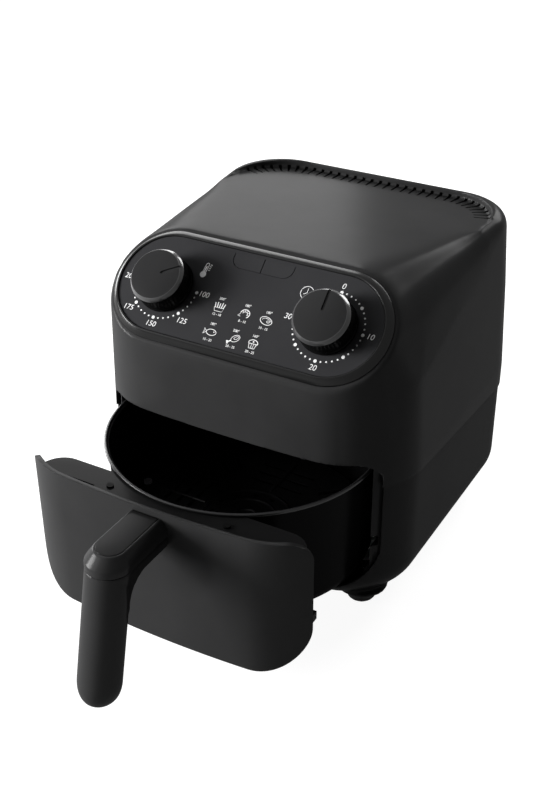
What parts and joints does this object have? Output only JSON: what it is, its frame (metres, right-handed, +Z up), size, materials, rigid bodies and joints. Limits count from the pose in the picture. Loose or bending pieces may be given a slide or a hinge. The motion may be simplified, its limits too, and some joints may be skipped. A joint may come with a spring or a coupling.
{
  "type": "air fryer",
  "caption": "Compact countertop air fryer: rounded housing with a slanted two-knob control panel, rear top vents and a pull-out drawer holding a round pan and crisper plate.",
  "frame": {"origin": "centre of the housing footprint, on the surface that the appliance stands on", "axes": "+X to the right seen from the front, -Y out of the front in the direction the drawer opens, +Z up"},
  "size_m": [0.234, 0.4115, 0.2335],
  "materials": {
    "shell_plastic": "satin moulded black",
    "lower_plastic": "satin moulded black",
    "frame_plastic": "fine textured black",
    "front_plastic": "satin moulded black",
    "handle_plastic": "satin moulded black",
    "cap_plastic": "polished black insert",
    "bezel_plastic": "polished black",
    "fascia_print": "matte charcoal with white print",
    "knob_plastic": "matte charcoal",
    "lens_plastic": "dark smoked lens",
    "pad_rubber": "matt rubber",
    "silicone": "soft silicone",
    "pan_coating": "satin non-stick coating",
    "sheet_steel": "plain sheet steel",
    "bright_steel": "zinc plated",
    "aluminium_sheet": "spun aluminium",
    "element_metal": "oxidised heater sheath",
    "insulation": "pressed mineral fibre",
    "laminations": "stacked laminations",
    "copper_wire": "varnished copper winding",
    "bronze": "sintered bronze",
    "fan_plastic": "heat resistant moulding",
    "phenolic": "phenolic moulding",
    "board": "circuit board",
    "lamp_glass": "neon lamp",
    "grille_plastic": "fine textured black",
    "switch_plastic": "moulded black",
    "plunger_plastic": "moulded black",
    "black_screw": "blackened steel",
    "slide_plastic": "low friction polymer"
  },
  "bodies": {
    "housing": {"upper_shell": "shell_plastic", "lower_housing": "lower_plastic", "foot_pads": "pad_rubber", "cavity_floor": "sheet_steel", "pan_runners": "slide_plastic", "floor_screws": "bright_steel", "front_frame": "frame_plastic", "chamber_liner": "sheet_steel", "exhaust_duct": "sheet_steel", "rear_grille": "grille_plastic", "cord_gland": "grille_plastic", "reflector_dome": "aluminium_sheet", "element_guard": "bright_steel", "heating_element": "element_metal", "element_clips": "bright_steel", "insulation_disc": "insulation", "motor_plate": "sheet_steel", "plate_posts": "bright_steel", "motor_lower_bracket": "bright_steel", "motor_upper_bracket": "bright_steel", "motor_stator": "laminations", "motor_coil": "copper_wire", "motor_bushes": "bronze", "motor_bolts": "bright_steel", "panel_bezel": "bezel_plastic", "control_fascia": "fascia_print", "indicator_lens_left": "lens_plastic", "indicator_lens_right": "lens_plastic", "indicator_board": "board", "indicator_lamps": "lamp_glass", "panel_bracket": "sheet_steel", "panel_screws": "bright_steel", "thermostat_body": "phenolic", "sensor_bulb": "bronze", "timer_body": "sheet_steel", "timer_bell": "bright_steel", "interlock_switch": "switch_plastic", "thermal_fuse": "phenolic", "terminal_block": "phenolic"},
    "drawer": {"drawer_front": "front_plastic", "drawer_bracket": "frame_plastic", "bracket_screws": "black_screw", "pan": "pan_coating", "pan_strap": "bright_steel", "handle_arm": "handle_plastic", "handle_grip": "handle_plastic", "handle_cap": "cap_plastic", "handle_screws": "bright_steel"},
    "crisper": {"crisper_plate": "pan_coating", "crisper_bumpers": "silicone"},
    "temperature_control": {"temperature_knob": "knob_plastic", "thermostat_spindle": "bright_steel"},
    "timer_control": {"timer_knob": "knob_plastic", "timer_spindle": "bright_steel"},
    "rotor": {"rotor_shaft": "bright_steel", "rotor_core": "laminations", "cooling_fan": "fan_plastic", "hot_air_fan": "aluminium_sheet", "fan_nut": "bronze"},
    "interlock": {"interlock_plunger": "plunger_plastic"}
  },
  "joints": [
    {"name": "drawer_slide", "type": "slide", "parent": "housing", "child": "drawer", "axis": [0, -1, 0], "range_m": [-0.0895, 0.125]},
    {"name": "crisper_lift", "type": "slide", "parent": "drawer", "child": "crisper", "axis": [0, 0, 1], "range_m": [0, 0.06]},
    {"name": "temperature_turn", "type": "hinge", "parent": "housing", "child": "temperature_control", "pos_m": [-0.06, -0.09, 0.207], "axis": [0, 0.6743, -0.7385], "range_deg": [0, 210]},
    {"name": "timer_turn", "type": "hinge", "parent": "housing", "child": "timer_control", "pos_m": [0.06, -0.09, 0.207], "axis": [0, 0.6743, -0.7385], "range_deg": [0, 270]},
    {"name": "fan_spin", "type": "hinge", "parent": "housing", "child": "rotor", "pos_m": [0, -0.003, 0.16], "axis": [0, 0, 1], "continuous": true},
    {"name": "interlock_press", "type": "slide", "parent": "housing", "child": "interlock", "axis": [0, 1, 0], "range_m": [0, 0.003], "stiffness_N_per_m": 200}
  ]
}
